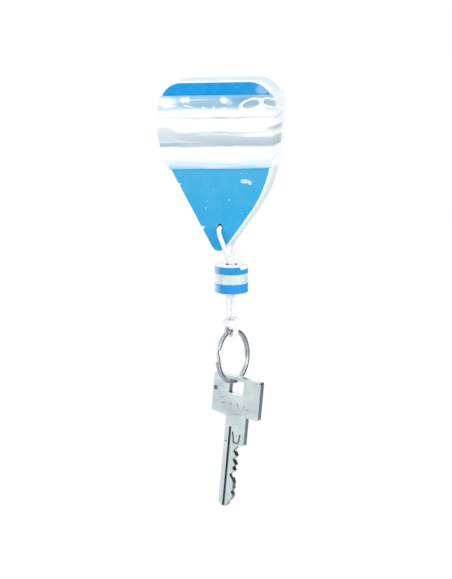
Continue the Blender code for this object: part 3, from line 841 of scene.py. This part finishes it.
for side in (-1, 1):
    strand = [
        knot_centre + across * (side * 0.0016) + up * 0.0016,
        knot_centre + across * (side * 0.0013) + up * 0.0028,
        wrap_centre + across * (side * 0.00115) + up * 0.0002,
        wrap_centre + across * (side * 0.00115) + up * 0.0011,
    ]
    strand_path = smooth_path(strand, 0.00015)
    knot_shape.from_mesh(braided_tube(f"knot_strand_{side}", strand_path, cord_radius, around=32))
knot_shape.to_mesh(knot_mesh)
knot_shape.free()
knot = add_piece("tied_knot", knot_mesh, "hanging_cord", white_braid)
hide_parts("ring_knot")

# Split ring: one nickel-plated spring-steel wire, wound in two flat turns that lie side by side, with a
# short crossover at the split. Keys have left fine scratches round it.

# Nickel plate is a neutral grey metal, half bright. Its scratches are drawn 1 mm wide, coarser than real
# ones, so that they show, and its haze 5 mm wide.
plate, shader = new_material("Bright nickel plate", 0.26, metallic=1.0)
surface = add_node(plate, "ShaderNodeTexCoord").outputs["Object"]
scratches = add_node(
    plate, "ShaderNodeTexNoise", {"Scale": 1 / 0.00111, "Detail": 4.0, "Distortion": 1.5}, Vector=surface
)
haze = add_node(plate, "ShaderNodeTexNoise", {"Scale": 1 / 0.00476, "Detail": 2.0}, Vector=surface)
tone = add_node(
    plate, "ShaderNodeValToRGB", stops=((0.3, "#ACB1B5"), (0.7, "#CCD1D4")), Fac=haze.outputs["Fac"]
)
rough = add_node(
    plate,
    "ShaderNodeMapRange",
    {"From Min": 0.3, "From Max": 0.7, "To Min": 0.34, "To Max": 0.5},
    _0=scratches.outputs["Fac"],
)
bump = add_node(
    plate, "ShaderNodeBump", {"Strength": 0.08, "Distance": 0.00002}, Height=scratches.outputs["Fac"]
)
finish(plate, tone.outputs["Color"], rough.outputs["Result"], bump.outputs["Normal"])
dressed_copy("split_ring", "wound_ring", "ring", plate, angle=50)

# Key: a flat key stamped from nickel silver and milled with grooves and bitting, with a bright tumbled
# skin. The head's two faces are lightly pressed, and scratched from pockets and locks.
tilt = math.radians(9.7)
key_right = across * math.cos(tilt) - up * math.sin(tilt)
key_up = across * math.sin(tilt) + up * math.cos(tilt)
hang = ring_centre - up * ring_middle_radius

# Tumbled nickel silver is a pale, slightly green grey metal with a soft gloss. Its stamped grain is drawn
# 1.6 mm wide and its scratches 0.3 mm, coarse enough to show, and the milled grooves are painted darker,
# partly for their oxide and partly as painted shade.
silver, shader = new_material("Tumbled nickel silver", 0.34, metallic=1.0)
surface = add_node(silver, "ShaderNodeTexCoord").outputs["Object"]
stamp = add_node(
    silver, "ShaderNodeTexNoise", {"Scale": 1 / 0.00161, "Detail": 5.0, "Roughness": 0.6}, Vector=surface
)
scratch_size = (1 / 0.002, 1 / 0.002, 1 / 0.000313)
drawn = add_node(
    silver, "ShaderNodeMapping", {"Rotation": (0.3, 0.4, 0.2), "Scale": scratch_size}, Vector=surface
)
scratches = add_node(
    silver, "ShaderNodeTexNoise", {"Scale": 1.0, "Detail": 3.0}, Vector=drawn.outputs["Vector"]
)
haze = add_node(silver, "ShaderNodeTexNoise", {"Scale": 1 / 0.00833, "Detail": 3.0}, Vector=surface)
tone = add_node(
    silver, "ShaderNodeValToRGB", stops=((0.3, "#BDCACC"), (0.7, "#D5E1E3")), Fac=haze.outputs["Fac"]
)
both = add_node(
    silver, "ShaderNodeMath", {"operation": "MULTIPLY"}, _0=stamp.outputs["Fac"], _1=scratches.outputs["Fac"]
)
rough = add_node(
    silver,
    "ShaderNodeMapRange",
    {"From Min": 0.12, "From Max": 0.4, "To Min": 0.26, "To Max": 0.5},
    _0=both.outputs["Value"],
)
bump = add_node(silver, "ShaderNodeBump", {"Strength": 0.35, "Distance": 0.0001}, Height=stamp.outputs["Fac"])
measured = []
for axis in (key_right, key_up, near):
    along = add_node(silver, "ShaderNodeVectorMath", {"operation": "DOT_PRODUCT", 1: tuple(axis)}, _0=surface)
    offset = {"operation": "MULTIPLY_ADD", 1: 1000.0, 2: -1000.0 * hang.dot(axis)}
    measured.append(add_node(silver, "ShaderNodeMath", offset, _0=along.outputs["Value"]).outputs["Value"])
key_flat = add_node(silver, "ShaderNodeCombineXYZ", _0=measured[0], _1=measured[1]).outputs["Vector"]
sunk = add_node(silver, "ShaderNodeMath", {"operation": "ABSOLUTE"}, _0=measured[2])
# Painted shade and oxide: the milled grooves are painted dark.
groove_oxide_and_shade = add_node(
    silver, "ShaderNodeMapRange", {"From Min": 1.32, "From Max": 1.0}, _0=sunk.outputs["Value"]
)
colour = paint(silver, tone.outputs["Color"], "#5C666A", groove_oxide_and_shade.outputs["Result"], 0.78)
on_face = add_node(silver, "ShaderNodeMapRange", {"From Min": 1.2, "From Max": 1.38}, _0=measured[2])
# Colour, middle, half size, turn, softness and strength, in millimetres and degrees: a punched dot, the
# worn and shaded parts of the face, a scribed line at the blade's edge, and short tool marks on the head.
for shade, centre, size, turn, soft, strength in (
    ("#5A6468", (-8.5, -4.4), (1.2, 1.1), 0, 0.8, 0.8),
    ("#8E9A9E", (3.6, -14.6), (5.2, 0.9), 8, 0.9, 0.45),
    ("#93A6AC", (2.0, -12.0), (13.0, 4.5), 0, 0.9, 0.35),
    ("#A9B5B9", (-6.5, -2.2), (3.6, 2.6), 20, 0.9, 0.3),
    ("#3F474B", (-0.7, -28.0), (1.0, 0.25), 6, 0.5, 0.9),
    ("#7C888D", (-4.7, -8.2), (1.4, 0.28), 12, 0.6, 0.7),
    ("#6B7579", (-3.9, -10.6), (1.6, 0.32), 8, 0.6, 0.75),
    ("#7C888D", (0.2, -10.2), (0.3, 1.4), -14, 0.6, 0.7),
    ("#6B7579", (3.9, -10.0), (0.32, 1.6), 18, 0.6, 0.75),
    ("#7C888D", (7.4, -10.6), (0.3, 1.5), -26, 0.6, 0.7),
    ("#6B7579", (9.3, -11.4), (1.3, 0.3), 10, 0.6, 0.7),
):
    mark = spot(silver, key_flat, centre, size, turn, soft)
    faced = add_node(
        silver, "ShaderNodeMath", {"operation": "MULTIPLY"}, _0=mark, _1=on_face.outputs["Result"]
    )
    colour = paint(silver, colour, shade, faced.outputs["Value"], strength)
finish(silver, colour, rough.outputs["Result"], bump.outputs["Normal"])
dressed_copy("key", "milled_key", "hanging_key", silver, bevel=2 * fine_edge, angle=35)

# Stage: a plain white floor under the hanging object. The floor and the world are white to the camera and in
# reflections, as the photograph's paper is, and broad soft lamps stand round the object.
paper = bpy.data.materials.new("White backdrop paper")
paper.use_nodes = True
paper_shader = paper.node_tree.nodes["Principled BSDF"]
paper_shader.inputs["Base Color"].default_value = (0.82, 0.82, 0.82, 1.0)
paper_shader.inputs["Roughness"].default_value = 0.9
rays = add_node(paper, "ShaderNodeLightPath").outputs
shown = add_node(
    paper, "ShaderNodeMath", {"operation": "MAXIMUM"}, _0=rays["Is Camera Ray"], _1=rays["Is Glossy Ray"]
)
glow = add_node(paper, "ShaderNodeEmission", {"Color": (1.0, 1.0, 1.0, 1.0), "Strength": 1.0})
seen = add_node(
    paper,
    "ShaderNodeMixShader",
    _0=shown.outputs["Value"],
    _1=paper_shader.outputs["BSDF"],
    _2=glow.outputs["Emission"],
)
paper.node_tree.links.new(seen.outputs["Shader"], paper.node_tree.nodes["Material Output"].inputs["Surface"])
floor_mesh = bpy.data.meshes.new("floor")
floor_corners = [(-6, -6, -0.3), (6, -6, -0.3), (6, 6, -0.3), (-6, 6, -0.3)]
floor_mesh.from_pydata(floor_corners, [], [(0, 1, 2, 3)])
floor_mesh.materials.append(paper)
floor = bpy.data.objects.new("floor", floor_mesh)
scene.collection.objects.link(floor)

world = bpy.data.worlds.new("Studio")
scene.world = world
world.use_nodes = True
daylight = world.node_tree.nodes["Background"]
daylight.inputs["Color"].default_value = (0.95, 0.98, 1.0, 1.0)
daylight.inputs["Strength"].default_value = 0.68
white = add_node(world, "ShaderNodeBackground", {"Color": (1.0, 1.0, 1.0, 1.0), "Strength": 1.0})
rays = add_node(world, "ShaderNodeLightPath").outputs
shown = add_node(
    world, "ShaderNodeMath", {"operation": "MAXIMUM"}, _0=rays["Is Camera Ray"], _1=rays["Is Glossy Ray"]
)
seen = add_node(
    world,
    "ShaderNodeMixShader",
    _0=shown.outputs["Value"],
    _1=daylight.outputs["Background"],
    _2=white.outputs["Background"],
)
world.node_tree.links.new(seen.outputs["Shader"], world.node_tree.nodes["World Output"].inputs["Surface"])

lit_point = Vector((0.0, 0.0, -0.09))
for name, lamp_place, size, watts in (
    ("left_softbox", (-0.85, -0.65, 0.45), 0.7, 4.4),
    ("front_softbox", (0.25, -1.3, -0.05), 1.0, 1.0),
    ("right_softbox", (1.1, -0.35, 0.15), 0.5, 7.0),
    ("top_softbox", (-0.1, 0.1, 1.0), 0.6, 2.5),
    ("back_softbox", (-0.5, 1.2, 0.4), 0.6, 2.5),
):
    lamp = bpy.data.lights.new(name, "AREA")
    lamp.size = size
    lamp.energy = watts
    thing = bpy.data.objects.new(name, lamp)
    scene.collection.objects.link(thing)
    thing.location = lamp_place
    aim = lit_point - Vector(lamp_place)
    thing.rotation_mode = "QUATERNION"
    thing.rotation_quaternion = aim.to_track_quat("-Z", "Y")

# Black card: a flag out of the camera's sight at the right and behind, so that the ring and the key's edges
# reflect something dark, as they do in the photograph.
card = bpy.data.materials.new("Black card")
card.use_nodes = True
card_shader = card.node_tree.nodes["Principled BSDF"]
card_shader.inputs["Base Color"].default_value = (0.02, 0.02, 0.02, 1.0)
card_shader.inputs["Roughness"].default_value = 0.9
flag_mesh = bpy.data.meshes.new("black_flag")
flag_corners = [(-0.34, 0, -0.3), (0.28, 0, -0.3), (0.28, 0, 0.25), (-0.34, 0, 0.25)]
flag_mesh.from_pydata(flag_corners, [], [(0, 1, 2, 3)])
flag_mesh.materials.append(card)
flag = bpy.data.objects.new("black_flag", flag_mesh)
scene.collection.objects.link(flag)
flag.location = (0.38, 0.33, 0.0)
flag.rotation_euler = (0.0, 0.0, math.radians(131))
flag.visible_camera = False
